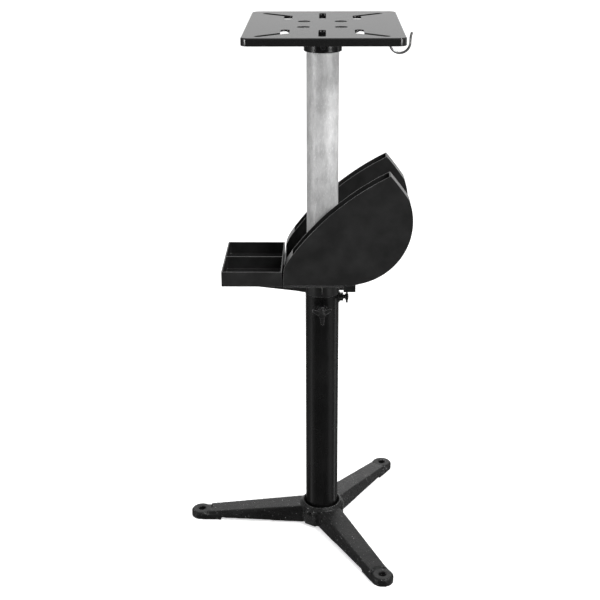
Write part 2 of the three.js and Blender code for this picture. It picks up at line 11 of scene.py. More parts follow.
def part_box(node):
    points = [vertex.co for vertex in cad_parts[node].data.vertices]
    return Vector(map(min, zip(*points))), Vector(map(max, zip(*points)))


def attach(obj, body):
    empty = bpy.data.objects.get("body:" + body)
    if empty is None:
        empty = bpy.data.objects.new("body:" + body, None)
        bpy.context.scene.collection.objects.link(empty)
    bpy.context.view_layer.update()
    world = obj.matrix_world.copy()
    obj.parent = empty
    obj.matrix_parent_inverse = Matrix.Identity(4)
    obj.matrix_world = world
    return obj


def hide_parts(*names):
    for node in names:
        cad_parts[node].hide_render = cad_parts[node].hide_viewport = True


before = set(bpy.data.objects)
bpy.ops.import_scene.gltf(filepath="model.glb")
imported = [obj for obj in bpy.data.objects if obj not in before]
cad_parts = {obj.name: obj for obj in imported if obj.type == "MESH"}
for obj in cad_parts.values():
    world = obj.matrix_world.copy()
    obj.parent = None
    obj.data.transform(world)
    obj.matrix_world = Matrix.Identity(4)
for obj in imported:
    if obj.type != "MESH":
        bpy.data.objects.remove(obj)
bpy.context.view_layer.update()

MM = 0.001
TUBE_LOW, TUBE_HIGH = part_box("outer_tube")
AXIS = Vector(((TUBE_LOW.x + TUBE_HIGH.x) / 2, (TUBE_LOW.y + TUBE_HIGH.y) / 2, 0))


def span(node_name):
    """Lowest and highest corner of a CAD node, in mm around the column's axis."""
    low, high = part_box(node_name)
    return (low - AXIS) / MM, (high - AXIS) / MM


def middle(node_name):
    low, high = span(node_name)
    return (low + high) / 2


# ---------------------------------------------------------------- sizes, in mm around the column's axis
ROUND = 128  # sides of a large round surface
SMALL = 48  # sides of a small one
GAP = 0.3  # play round a tube
CUTTER_PROUD = 0.1  # how far a recess's cutter stands out of the screw

# Column
OUTER_WALL = 2.2
INNER_WALL = 2.3
TUBE_EDGE = 0.7
TUBE_RADIUS = (TUBE_HIGH.x - TUBE_LOW.x) / 2 / MM

# Castings: the size of the voxels that they are remeshed with, and how often they are smoothed
BASE_VOXEL = 1.3
KNOB_VOXEL = 0.3
CAST_PASSES = 2

# Lock screws: name, direction from the column in degrees, and height
LOCKS = [("front", -90, middle("front_lock_stud").z), ("side", 0, middle("side_lock_stud").z)]
LOCK_HOLE = 4.3
THROUGH_WALL = (10, 40)  # where the drill for that hole starts and ends, out from the column's axis
STUD_RADIUS = 4
STUD_PITCH = 1.25
KNOB = {"base": 1.5, "reach": 19, "root": 4.4, "tip": 2.5, "collar": 5.5, "hub": 6}
KNOB_DOME = [(6, 0), (5.4, 0.8), (3.6, 1.5)]  # (radius, height over the arms)
KNOB_TURNS = {"front": 3, "side": 159}  # degrees about the screw's own axis
WELD_NUT = {"flats": 13, "foot": 20, "turn": 30}  # its foot is a distance from the column's axis
BEAD_RADIUS = 8.2
BEAD_THICK = 1.7
BEAD_STEPS = 72

# Plate screws and their nuts
PLATE_SCREW = {"radius": 5, "pitch": 1.5, "plain": 7}  # plain: depth without a thread, from the plate's top
PLATE_SCREW_HEAD = [(5, -4.4), (9.2, -0.3), (9, 0)]  # (radius, height over the crown)
PLATE_RECESS = {"reach": 6.4, "width": 3, "depth": 3.4}
PLATE_SEAT = [(5.3, -20), (5.3, -5.7), (10.4, -0.6), (10.4, 5)]  # (radius, height over the plate's top)
SCREW_SINK = 1.4  # how far the crowns stand below the plate's top
PLATE_NUT = {"flats": 16, "bore": 5.3, "turn": 30}
SHANK_HOLE = 5.4
NUT_CHAMFER = 0.6
THREAD_DEPTH = 0.55

# Set screws and holder screws
SET_SCREW_RADIUS = 4
SET_SCREW_HALF = 4  # half the length of a set screw in the base
SET_SCREW_HOLE = 4.3
THROUGH_BOSS = (20, 40)
PAN_HEAD = [(2.2, 0), (3.4, 0.4), (4, 1.3), (4, 2.2), (2.1, 2.2)]  # (radius, height over its underside)
PAN_SHANK = 2.1
PAN_RECESS = {"reach": 2.4, "width": 0.9, "depth": 1.6}

# Flange
BOSS_RADIUS = 31.4
FLANGE_THICK = 8

# Machine plate
SHEET = 3
PLATE_CORNER = 13
PLATE_CROWN = 2.2  # rounding along the plate's top edge
INNER_CROWN = 0.4  # and along the inside of it
PLATE_MIDDLE = 20  # how far in from the edge the flat middle's outline runs
SLOT_EDGE = 0.2
PATTERN = Vector((-0.8, -4.5))  # middle of the pattern of slots, whose sizes are measured from it
CENTRE_SLOT = {"width": 11.5, "near": 65, "far": 137}
CORNER_SLOT = {"x": 57.5, "width": 14, "near": 61, "far": 106}
DIAGONAL_SLOT = {"width": 12, "x": 96.5, "y": 132.7}

# Hook, drawn in the X-Z plane
HOOK_CENTRE = Vector((125.2, 892.2))
HOOK_BEND = 16.5
HOOK_ROD = 2
HOOK_FLARE = [12, 17]  # heights over the centre where the tip begins to flare out, and where it ends

# Wheel pockets, drawn in the X-Z plane
POCKET_WALL = 2.2
POCKET_FLOOR = 3.4
POCKET_FLAT_TO = 50
DISC = Vector((40.5, 611))
DISC_RADIUS = 109
DISC_FROM = -74
DISC_TO = 21
DISC_PROUD = 0.8
DISC_RAMP = 2.6  # width of the slope round the raised disc
MOUTH_TIP = Vector((111, 690.8))
MOUTH_LOW = Vector((-50, 554.5))
MOUTH_RISE = 12.5
TIP_BEND = Vector((130, 668))
CORNER_BEND = 534.5
CORNER_END = 524

# Tool tray
TRAY_WALL = 2.2
TRAY_FLOOR = 3.2
TRAY_CORNER = 1.4
BIN_CORNER = 3

# Moulded edges
OUTER_EDGE = 0.5
HOLLOW_EDGE = 1.5
POCKET_RIM = 0.2
TRAY_RIM = 0.25


# ---------------------------------------------------------------- outlines
def arc(centre, radius, start, end, steps):
    """Points of an arc, its angles in degrees."""
    angles = [math.radians(start + (end - start) * i / steps) for i in range(steps + 1)]
    return [Vector((centre[0] + radius * math.cos(a), centre[1] + radius * math.sin(a))) for a in angles]


def quadratic(start, control, end, steps):
    """Points of a curve after its start, bent towards the control point."""
    points = []
    for i in range(1, steps + 1):
        t = i / steps
        points.append((1 - t) ** 2 * start + 2 * t * (1 - t) * control + t * t * end)
    return points


def rounded(corners, steps=5):
    """A closed outline through (x, y, radius) corners, with an arc at each corner that has a radius."""
    points = []
    for i, (x, y, radius) in enumerate(corners):
        corner = Vector((x, y))
        if not radius:
            points.append(corner)
            continue
        before = (Vector(corners[i - 1][:2]) - corner).normalized()
        after = (Vector(corners[(i + 1) % len(corners)][:2]) - corner).normalized()
        half = before.angle(after) / 2
        centre = corner + (before + after).normalized() * radius / math.sin(half)
        start = corner + before * radius / math.tan(half) - centre
        end = corner + after * radius / math.tan(half) - centre
        first = math.atan2(start.y, start.x)
        turn = math.atan2(start.cross(end), start.dot(end))
        for k in range(steps + 1):
            a = first + turn * k / steps
            points.append(centre + radius * Vector((math.cos(a), math.sin(a))))
    return points


def rectangle(x0, x1, y0, y1, radius, steps=6):
    return rounded([(x0, y0, radius), (x1, y0, radius), (x1, y1, radius), (x0, y1, radius)], steps)


def slot_outline(start, end, width):
    run = math.degrees(math.atan2(end.y - start.y, end.x - start.x))
    return arc(end, width / 2, run - 90, run + 90, 14) + arc(start, width / 2, run + 90, run + 270, 14)


# ---------------------------------------------------------------- meshes
def made(name, bm):
    """A new object of bm's mesh."""
    bmesh.ops.recalc_face_normals(bm, faces=bm.faces)
    mesh = bpy.data.meshes.new(name)
    bm.to_mesh(mesh)
    bm.free()
    obj = bpy.data.objects.new(name, mesh)
    bpy.context.scene.collection.objects.link(obj)
    return obj


def skinned(name, loops, closed=False):
    """A solid through loops of equally many points, with a cap on the first and last unless closed."""
    bm = bmesh.new()
    rings = [[bm.verts.new(p) for p in loop] for loop in loops]
    pairs = list(zip(rings, rings[1:]))
    if closed:
        pairs.append((rings[-1], rings[0]))
    for lower, upper in pairs:
        for i in range(len(lower)):
            j = (i + 1) % len(lower)
            bm.faces.new((lower[i], lower[j], upper[j], upper[i]))
    if not closed:
        bm.faces.new(list(reversed(rings[0])))
        bm.faces.new(rings[-1])
    return made(name, bm)


def circle(radius, z, sides):
    return [Vector((p.x, p.y, z)) for p in arc((0, 0), radius, 0, 360, sides)[:-1]]


def turned(name, profile, sides=ROUND, closed=False):
    """A solid of revolution about Z, with a flat cap at each end of its (radius, z) profile."""
    return skinned(name, [circle(r, z, sides) for r, z in profile], closed)


def drill(radius, start, end):
    """A round cutter along Z."""
    return turned("drill", [(radius, start), (radius, end)], SMALL)


def raised(name, outline, z0, z1):
    """The solid over an outline in the X-Y plane."""
    return skinned(name, [[Vector((p.x, p.y, z)) for p in outline] for z in (z0, z1)])


def across(name, outline, y0, y1):
    """The solid on an outline in the X-Z plane."""
    return skinned(name, [[Vector((p.x, y, p.y)) for p in outline] for y in (y0, y1)])


def swept(name, path, radii, sides=20):
    """A rod along a path in the X-Z plane, with a radius at each point."""
    loops = []
    for i, point in enumerate(path):
        run = (path[min(i + 1, len(path) - 1)] - path[max(i - 1, 0)]).normalized()
        side = Vector((run.y, -run.x))
        ring = []
        for p in arc((0, 0), radii[i], 0, 360, sides)[:-1]:
            ring.append(Vector((point.x + side.x * p.x, p.y, point.y + side.y * p.x)))
        loops.append(ring)
    return skinned(name, loops)


def threaded(name, radius, z0, z1, pitch, head=()):
    """A rod along Z with a real helical thread; head goes on from it with plain (radius, z) rings."""
    rows = round((z1 - z0) / pitch * 6)
    loops = []
    for i in range(rows + 1):
        z = z0 + (z1 - z0) * i / rows
        runout = THREAD_DEPTH * max(0, 1 - (z - z0) / pitch)
        ring = []
        for k, p in enumerate(circle(1, z, SMALL)):
            phase = (z / pitch - k / SMALL) % 1
            cut_in = THREAD_DEPTH * abs(2 * phase - 1)
            r = radius - max(cut_in, runout)
            ring.append(Vector((p.x * r, p.y * r, z)))
        loops.append(ring)
    loops += [circle(r, z, SMALL) for r, z in head]
    return skinned(name, loops)


def settle(obj):
    """Turns obj's modifiers into plain mesh."""
    graph = bpy.context.evaluated_depsgraph_get()
    mesh = bpy.data.meshes.new_from_object(obj.evaluated_get(graph))
    obj.modifiers.clear()
    obj.data = mesh
    return obj


def combined(obj, others, operation="DIFFERENCE"):
    """obj with the others cut from it, joined to it or kept in common, and the others gone."""
    for other in others:
        boolean = obj.modifiers.new("boolean", "BOOLEAN")
        boolean.operation = operation
        boolean.solver = "EXACT"
        boolean.object = other
    settle(obj)
    for other in others:
        bpy.data.objects.remove(other)
    return obj


def softened(obj, width, angle=50, segments=3, clamp=False):
    """obj with its edges sharper than the angle rounded off."""
    bevel = obj.modifiers.new("edges", "BEVEL")
    bevel.width = width
    bevel.segments = segments
    bevel.limit_method = "ANGLE"
    bevel.angle_limit = math.radians(angle)
    bevel.use_clamp_overlap = clamp
    bevel.miter_outer = "MITER_ARC"
    return settle(obj)


def cast(obj, voxel):
    """obj remeshed and smoothed, so that its edges round off and its corners fill as a casting's do."""
    remesh = obj.modifiers.new("skin", "REMESH")
    remesh.mode = "VOXEL"
    remesh.voxel_size = voxel
    smooth = obj.modifiers.new("smooth", "SMOOTH")
    smooth.factor = 0.5
    smooth.iterations = CAST_PASSES
    return settle(obj)


def from_cad(name, node_name, weld=0.002, flat=0.5):
    """A new piece with a CAD node's shape, its triangles within flat degrees of a plane joined up."""
    bm = bmesh.new()
    bm.from_mesh(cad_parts[node_name].data)
    bm.transform(Matrix.Scale(1 / MM, 4) @ Matrix.Translation(-AXIS))
    bmesh.ops.remove_doubles(bm, verts=bm.verts, dist=weld)
    bmesh.ops.dissolve_limit(bm, angle_limit=math.radians(flat), verts=bm.verts, edges=bm.edges)
    return made(name, bm)


def moved(obj, degrees=0, offset=(0, 0, 0)):
    """Turns obj's mesh about Z, then moves it."""
    obj.data.transform(Matrix.Translation(offset) @ Matrix.Rotation(math.radians(degrees), 4, "Z"))
    return obj


def placed(obj, node_name):
    """Moves a mesh from the column's axis to a CAD node's own upright axis."""
    return moved(obj, 0, (*middle(node_name).xy, 0))


def level(obj, degrees, z):
    """Lays a mesh built along +Z level in the given direction, at height z; its +X then points down."""
    tilt = Matrix.Rotation(math.pi / 2, 4, "Y")
    obj.data.transform(Matrix.Translation((0, 0, z)) @ Matrix.Rotation(math.radians(degrees), 4, "Z") @ tilt)
    return obj


def finished(obj, body, look, slot, *nodes, sharp=35):
    """Moves obj from mm around the column into the frame, gives it its body and finish, and hides the CAD
    nodes that it stands for.
    """
    obj.data.transform(Matrix.Translation(AXIS) @ Matrix.Scale(MM, 4))
    obj.data.shade_smooth()
    obj.data.set_sharp_from_angle(angle=math.radians(sharp))
    if sharp < 180:
        even = obj.modifiers.new("even", "WEIGHTED_NORMAL")
        even.keep_sharp = True
        settle(obj)
    obj.data.materials.clear()
    obj.data.materials.append(look)
    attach(obj, body)
    if nodes:
        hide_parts(*nodes)
    return obj


# ---------------------------------------------------------------- shader nodes
def node(tree, kind, inputs=None, **settings):
    """A new shader node, its inputs given as values or as other nodes' outputs."""
    new = tree.nodes.new("ShaderNode" + kind)
    for key, value in settings.items():
        setattr(new, key, value)
    for socket, value in (inputs or {}).items():
        if isinstance(value, bpy.types.NodeSocket):
            tree.links.new(value, new.inputs[socket])
        else:
            new.inputs[socket].default_value = value
    return new


def noise(tree, coords, scale, detail, roughness):
    inputs = {"Vector": coords, "Scale": scale, "Detail": detail, "Roughness": roughness}
    return node(tree, "TexNoise", inputs).outputs["Fac"]


def ranged(tree, value, low, high, to_low, to_high):
    inputs = {"Value": value, "From Min": low, "From Max": high, "To Min": to_low, "To Max": to_high}
    return node(tree, "MapRange", inputs).outputs["Result"]


def mixed(tree, factor, a, b):
    inputs = {0: factor, 6: a, 7: b}
    return node(tree, "Mix", inputs, data_type="RGBA").outputs[2]


def worked(tree, operation, a, b=0):
    """The result of a sum on one or two values."""
    return node(tree, "Math", {0: a, 1: b}, operation=operation).outputs[0]


def times(tree, a, b):
    return worked(tree, "MULTIPLY", a, b)


def grey(value):
    return (value, value, value, 1)


# ---------------------------------------------------------------- finishes
CLOUD_RANGE = (0.34, 0.68)  # where the values of a cloudy noise mostly lie
SMUDGE_RANGE = (0.32, 0.7)


def edge_wear_and_glint(tree, edge, cloud, fine):
    """How much of the lighter edge grey a surface takes: only along its sharp edges, unevenly and in
    speckles. It is partly rubbed-bare wear and partly painted highlight, glints along edges that catch the
    light.
    """
    width, strength = edge
    geometry = node(tree, "NewGeometry").outputs["Normal"]
    bevel = node(tree, "Bevel", {"Radius": width * MM}, samples=4).outputs["Normal"]
    facing = node(tree, "VectorMath", {0: geometry, 1: bevel}, operation="DOT_PRODUCT").outputs["Value"]
    along_edges = ranged(tree, facing, 0.94, 0.8, 0, strength)
    uneven = times(tree, along_edges, ranged(tree, cloud, 0, 1, 0.55, 1))
    return times(tree, uneven, ranged(tree, fine, 0.42, 0.62, 0.25, 1))


def relief(tree, layers):
    """A normal raised by (height, depth in mm) layers, one on top of another."""
    normal = None
    for height, depth in layers:
        inputs = {"Height": height, "Distance": depth * MM, "Strength": 1}
        if normal:
            inputs["Normal"] = normal
        normal = node(tree, "Bump", inputs).outputs["Normal"]
    return normal


def coated(name, dark, light, wear_and_glint_grey, roughness, grain, waves, patches, edge, glint_specks=0,
           metallic=0, specular=0.5, stretch=(1, 1, 1)):
    """A paint, plastic or metal: cloudy colour, grain, waviness, painted glint specks and a lighter grey
    along the edges.
    roughness is (low, high); grain and waves are (scale per metre, depth in mm); patches and glint specks
    are scales per metre; edge is (width in mm, strength) of the lighter edges, which are partly wear and
    partly painted highlight; stretch squeezes the pattern along each axis."""
    material = bpy.data.materials.new(name)
    material.use_nodes = True
    tree = material.node_tree
    shader = tree.nodes["Principled BSDF"]
    place = node(tree, "TexCoord").outputs["Object"]
    coords = node(tree, "Mapping", {"Vector": place, "Scale": stretch}).outputs["Vector"]
    cloud = ranged(tree, noise(tree, coords, patches, 5, 0.6), *CLOUD_RANGE, 0, 1)
    fine = noise(tree, coords, grain[0], 4, 0.6)
    swell = noise(tree, coords, waves[0], 2, 0.5)
    smudge = noise(tree, coords, patches * 2.7, 6, 0.7)

    colour = mixed(tree, cloud, grey(dark), grey(light))
    colour = mixed(tree, ranged(tree, fine, 0.55, 0.75, 0, 0.5), colour, grey(light * 1.5))
    # Painted glints: small specks of the lighter edge grey scattered over the surface.
    if glint_specks:
        glint_speck_noise = noise(tree, place, glint_specks, 1, 0.4)
        colour = mixed(tree, ranged(tree, glint_speck_noise, 0.74, 0.78, 0, 0.8), colour, grey(wear_and_glint_grey))
    # Edges turn lighter: partly wear, partly painted highlights and glints.
    colour = mixed(tree, edge_wear_and_glint(tree, edge, cloud, fine), colour, grey(wear_and_glint_grey))

    tree.links.new(colour, shader.inputs["Base Color"])
    tree.links.new(ranged(tree, smudge, *SMUDGE_RANGE, *roughness), shader.inputs["Roughness"])
    tree.links.new(relief(tree, [(swell, waves[1]), (fine, grain[1])]), shader.inputs["Normal"])
    shader.inputs["Metallic"].default_value = metallic
    shader.inputs["Specular IOR Level"].default_value = specular
    return material


# The light dashes along its edges and its light specks are painted glints, on top of a little edge wear.
CAST = coated("cast_black_paint", dark=0.005, light=0.01, wear_and_glint_grey=0.6, roughness=(0.18, 0.4),
              grain=(650, 0.34), waves=(150, 0.5), patches=24, edge=(2.6, 1), glint_specks=520, specular=0.3)
TUBE_PAINT = coated("tube_black_paint", dark=0.0035, light=0.006, wear_and_glint_grey=0.05, roughness=(0.2, 0.3),
                    grain=(1200, 0.012), waves=(260, 0.03), patches=18, edge=(1.4, 0.5), specular=0.3)
ENAMEL = coated("plate_black_enamel", dark=0.006, light=0.009, wear_and_glint_grey=0.1, roughness=(0.1, 0.18),
                grain=(900, 0.008), waves=(160, 0.03), patches=9, edge=(1, 0.15))
ZINC = coated("zinc_plate", dark=0.52, light=0.72, wear_and_glint_grey=0.8, roughness=(0.4, 0.6),
              grain=(500, 0.06), waves=(130, 0.12), patches=100, edge=(1.2, 0.4), metallic=0.4,
              stretch=(1, 1, 0.4))
# The light lines along its rims and edges are painted highlights, with a little wear.
PLASTIC = coated("charcoal_plastic", dark=0.009, light=0.017, wear_and_glint_grey=0.45, roughness=(0.3, 0.46),
                 grain=(1500, 0.02), waves=(90, 0.1), patches=34, edge=(1.1, 0.9), specular=0.35)
HARDWARE = coated("blackened_steel", dark=0.05, light=0.09, wear_and_glint_grey=0.4, roughness=(0.28, 0.45),
                  grain=(1500, 0.02), waves=(500, 0.03), patches=90, edge=(1, 0.6), metallic=0.8)
# The light top edges of its arms are painted highlights, with some wear.
KNOB_METAL = coated("knob_cast_metal", dark=0.012, light=0.024, wear_and_glint_grey=0.8, roughness=(0.25, 0.4),
                    grain=(1100, 0.05), waves=(300, 0.1), patches=80, edge=(1.6, 1), metallic=0.5)
STEEL = coated("bright_steel_rod", dark=0.2, light=0.3, wear_and_glint_grey=0.6, roughness=(0.25, 0.4),
               grain=(1000, 0.02), waves=(200, 0.05), patches=60, edge=(0.6, 0.4), metallic=0.9)


# ---------------------------------------------------------------- column and base
def tube(name, node_name, wall):
    low, high = span(node_name)
    outer = (high.x - low.x) / 2
    inner = outer - wall
    corners = [(inner, low.z), (outer, low.z), (outer, high.z), (inner, high.z)]
    return turned(name, rounded([(r, z, TUBE_EDGE) for r, z in corners], 3), closed=True)


def add_column():
    outer = tube("column_outer", "outer_tube", OUTER_WALL)
    holes = [level(drill(LOCK_HOLE, *THROUGH_WALL), direction, height) for _, direction, height in LOCKS]
    combined(outer, holes)
    finished(outer, "stand", TUBE_PAINT, "tube_black", "outer_tube")
    inner = tube("column_inner", "inner_tube", INNER_WALL)
    finished(inner, "inner_column", ZINC, "zinc", "inner_tube")


def add_base():
    base = cast(from_cad("base_casting", "tripod_base"), BASE_VOXEL)
    finished(base, "stand", CAST, "cast_black", "tripod_base", sharp=180)


# ---------------------------------------------------------------- fasteners
def hexagon(name, flats, z0, z1, turn=0):
    return raised(name, arc((0, 0), flats / math.sqrt(3), turn, turn + 360, 6)[:-1], z0, z1)


def chamfered_nut(name, flats, bore, z0, z1, turn, both=True):
    """A hexagon nut along Z with its corners turned off at the outer end, or at both."""
    corner = flats / math.sqrt(3)
    flat = flats / 2
    drop = (corner - flat) * 0.6
    low = [(flat, z0), (corner, z0 + drop)] if both else [(corner, z0)]
    cone = turned("cone", low + [(corner, z1 - drop), (flat * 0.97, z1)], SMALL)
    nut = combined(hexagon(name, flats, z0, z1, turn), [cone], "INTERSECT")
    wide = bore + 0.7
    bore_profile = [(wide, z0 - 1), (bore, z0 + NUT_CHAMFER), (bore, z1 - NUT_CHAMFER), (wide, z1 + 1)]
    return combined(nut, [turned("bore", bore_profile, SMALL)])


def socket_screw(name, radius, z0, z1):
    """A headless screw along +Z with a hexagon socket in its outer end."""
    body = turned(name, [(radius - 1, z0), (radius, z0 + 1), (radius, z1 - 0.5), (radius - 0.5, z1)], SMALL)
    return combined(body, [hexagon("socket", radius, z1 - 3, z1 + 1)])


def cross_cutter(recess, top, up=1):
    """A tapering cross that cuts a screw's drive recess into its top, which faces up or, with -1, down."""
    half = recess["width"] / 2
    reach = recess["reach"]
    outline = []
    for quarter in range(4):
        for x, y in ((half, half), (reach, half), (reach, -half)):
            a = -math.pi / 2 * quarter
            outline.append(Vector((x * math.cos(a) - y * math.sin(a), x * math.sin(a) + y * math.cos(a))))
    loops = []
    bottom = top - up * recess["depth"]
    for size, z in ((0.5, bottom), (1, top + up * CUTTER_PROUD)):
        loops.append([Vector((p.x * size, p.y * size, z)) for p in outline])
    return skinned("cross", loops)


def add_set_screws():
    low, high = span("flange_set_screw")
    screw = socket_screw("head_set_screw", SET_SCREW_RADIUS, -high.y, -low.y)
    level(screw, -90, (low.z + high.z) / 2)
    finished(screw, "head", HARDWARE, "black_hardware", "flange_set_screw", sharp=30)
    for i in range(1, 4):
        place = middle(f"base_set_screw_{i}")
        far = place.xy.length
        screw = socket_screw(f"base_grub_{i}", SET_SCREW_RADIUS, far - SET_SCREW_HALF, far + SET_SCREW_HALF)
        level(screw, math.degrees(math.atan2(place.y, place.x)), place.z)
        finished(screw, "stand", HARDWARE, "black_hardware", f"base_set_screw_{i}", sharp=30)


# ---------------------------------------------------------------- lock screws
def out_from_axis(node_name, lock):
    """Nearest and furthest distance of a lock's piece from the column's axis."""
    low, high = span(node_name)
    return (-high.y, -low.y) if lock == "front" else (low.x, high.x)


def knob(name, z0, z1, turn):
    """Three-arm knob along +Z from z0 to the top of its dome."""
    base, root, tip = KNOB["base"], KNOB["root"], KNOB["tip"]
    arm_top = z1 - z0 - KNOB_DOME[-1][1]
    outline = []
    for i in range(3):
        direction = turn + 120 * i
        along = Vector((math.cos(math.radians(direction)), math.sin(math.radians(direction))))
        side = Vector((-along.y, along.x))
        outline.append(root * along - root * side)
        outline += arc(along * (KNOB["reach"] - tip), tip, direction - 90, direction + 90, 10)
        outline.append(root * along + root * side)
    collar = turned("collar", [(KNOB["collar"], 0), (KNOB["collar"], base + 1)], SMALL)
    dome = [(radius, arm_top + height) for radius, height in KNOB_DOME]
    hub = turned("hub", [(KNOB["hub"], base), *dome], SMALL)
    handle = combined(raised(name, outline, base, arm_top), [collar, hub], "UNION")
    combined(handle, [drill(LOCK_HOLE, -1, arm_top - 1)])
    return moved(cast(handle, KNOB_VOXEL), 0, (0, 0, z0))


def weld_bead(name, degrees, height):
    """A lumpy closed bead of weld on the outer tube, round the foot of the nut in the given direction."""
    loops = []
    for i in range(BEAD_STEPS):
        a = 2 * math.pi * i / BEAD_STEPS
        lump = 1 + 0.16 * math.sin(11 * a) + 0.1 * math.sin(17 * a + 1)
        loop = []
        for p in arc((0, 0), BEAD_THICK * lump, 0, 360, 16)[:-1]:
            from_nut = BEAD_RADIUS + p.x
            x = from_nut * math.cos(a)
            loop.append(Vector((x, from_nut * math.sin(a), math.sqrt(TUBE_RADIUS ** 2 - x ** 2) + p.y)))
        loops.append(loop)
    return level(moved(skinned(name, loops, closed=True), 90), degrees, height)


def add_lock(lock, direction, height):
    """Stud, knob, weld nut and weld of one lock screw."""
    near, far = out_from_axis(f"{lock}_lock_stud", lock)
    stud = level(threaded(f"{lock}_stud", STUD_RADIUS, near, far, STUD_PITCH), direction, height)
    finished(stud, f"{lock}_lock_screw", HARDWARE, "black_hardware", f"{lock}_lock_stud")
    near, far = out_from_axis(f"{lock}_lock_knob", lock)
    handle = level(knob(f"{lock}_handle", near, far, KNOB_TURNS[lock]), direction, height)
    finished(handle, f"{lock}_lock_screw", KNOB_METAL, "knob_metal", f"{lock}_lock_knob", sharp=180)
    near, far = out_from_axis(f"{lock}_weld_nut", lock)
    nut = chamfered_nut(f"{lock}_nut", WELD_NUT["flats"], LOCK_HOLE, WELD_NUT["foot"], far,
                        WELD_NUT["turn"], both=False)
    clear = TUBE_RADIUS + GAP
    tube_cutter = turned("tube_cutter", [(clear, height - 30), (clear, height + 30)])
    combined(level(nut, direction, height), [tube_cutter])
    # The weld nut takes the knob's metal for its light edges, which are painted highlights.
    finished(nut, "stand", KNOB_METAL, "tube_black", f"{lock}_weld_nut", sharp=20)
    finished(weld_bead(f"{lock}_weld", direction, height), "stand", TUBE_PAINT, "tube_black")


# ---------------------------------------------------------------- head
PLATE_SCREWS = [f"plate_screw_{i}" for i in range(1, 5)]


def add_flange():
    low, high = span("flange_casting")
    inner_low, inner_high = span("inner_tube")
    radius = (high.x - low.x) / 2
    bore = (inner_high.x - inner_low.x) / 2 + GAP
    under = high.z - FLANGE_THICK
    flange = turned("head_flange", rounded([
        (bore, low.z, 0.4),
        (BOSS_RADIUS, low.z, 0.9),
        (BOSS_RADIUS, under, 1),
        (radius, under, 1.5),
        (radius, high.z, 1),
        (bore, high.z, 0.4),
    ], 4), closed=True)
    set_screw_hole = level(drill(SET_SCREW_HOLE, *THROUGH_BOSS), -90, middle("flange_set_screw").z)
    shank_holes = [placed(drill(SHANK_HOLE, under - 10, high.z + 10), screw) for screw in PLATE_SCREWS]
    combined(flange, [set_screw_hole, *shank_holes])
    finished(flange, "head", TUBE_PAINT, "cast_black", "flange_casting")


def plate_slots():
    """Outlines of the plate's slots: two in the middle, and four in the corners of two stretches each."""
    outlines = []
    for side in (-1, 1):
        end = CENTRE_SLOT["width"] / 2
        near = Vector((0, side * (CENTRE_SLOT["near"] + end)))
        far = Vector((0, side * (CENTRE_SLOT["far"] - end)))
        outlines.append(slot_outline(near, far, CENTRE_SLOT["width"]))
        for hand in (-1, 1):
            end = CORNER_SLOT["width"] / 2
            near = Vector((hand * CORNER_SLOT["x"], side * (CORNER_SLOT["near"] + end)))
            turn = Vector((hand * CORNER_SLOT["x"], side * (CORNER_SLOT["far"] - end)))
            tip = Vector((hand * DIAGONAL_SLOT["x"], side * DIAGONAL_SLOT["y"]))
            outlines.append(slot_outline(near, turn, CORNER_SLOT["width"]))
            outlines.append(slot_outline(turn, tip, DIAGONAL_SLOT["width"]))
    return [[point + PATTERN for point in outline] for outline in outlines]


def plate_section(bottom, top):
    """The sheet's section as (inset, z): out over the top, down the rim and back along the inside."""
    over = [math.pi / 2 * i / 6 for i in range(7)]
    under = [math.pi / 2 * i / 4 for i in range(5)]
    section = [(PLATE_MIDDLE, top)]
    section += [(PLATE_CROWN * (1 - math.sin(a)), top - PLATE_CROWN * (1 - math.cos(a))) for a in over]
    section += [(0, bottom + 1), (0.4, bottom), (SHEET - 0.4, bottom), (SHEET, bottom + 1)]
    section += [(SHEET + INNER_CROWN * (1 - math.cos(a)), top - SHEET - INNER_CROWN * (1 - math.sin(a)))
                for a in under]
    return section + [(PLATE_MIDDLE, top - SHEET)]


def add_plate():
    """A pressed sheet: flat top, rounded edge, rim turned down, slots and screw seats cut through."""
    low, high = span("machine_plate")
    loops = []
    for inset, z in plate_section(low.z, high.z):
        edge = rectangle(low.x + inset, high.x - inset, low.y + inset, high.y - inset,
                         max(PLATE_CORNER - inset, 0.5), 10)
        loops.append([Vector((p.x, p.y, z)) for p in edge])
    plate = skinned("head_plate", loops)
    tools = []
    for i, outline in enumerate(plate_slots()):
        reach = 20 + i  # no two cutters end in the same plane, which keeps the cuts clean
        tools.append(raised("slot", outline, high.z - reach, high.z + reach))
    seat = [(radius, high.z + height) for radius, height in PLATE_SEAT]
    tools += [placed(turned("seat", seat, SMALL), screw) for screw in PLATE_SCREWS]
    softened(combined(plate, tools), SLOT_EDGE, angle=60)
    finished(plate, "head", ENAMEL, "plate_black", "machine_plate")


def add_plate_screw(index):
    """A countersunk screw with a cross recess, and the nut under the flange."""
    screw_name = f"plate_screw_{index}"
    low, high = span(screw_name)
    crown = high.z - SCREW_SINK
    head = [(r, crown + height) for r, height in PLATE_SCREW_HEAD]
    radius, pitch, thread_top = PLATE_SCREW["radius"], PLATE_SCREW["pitch"], high.z - PLATE_SCREW["plain"]
    screw = threaded(f"head_screw_{index}", radius, low.z, thread_top, pitch, head)
    combined(screw, [moved(cross_cutter(PLATE_RECESS, crown), 70 * index - 50)])
    finished(placed(screw, screw_name), "head", HARDWARE, "black_hardware", screw_name, sharp=30)
    low, high = span(f"plate_nut_{index}")
    nut = chamfered_nut(f"head_nut_{index}", PLATE_NUT["flats"], PLATE_NUT["bore"], low.z, high.z,
                        PLATE_NUT["turn"])
    finished(placed(nut, screw_name), "head", STEEL, "bright_steel", f"plate_nut_{index}", sharp=20)


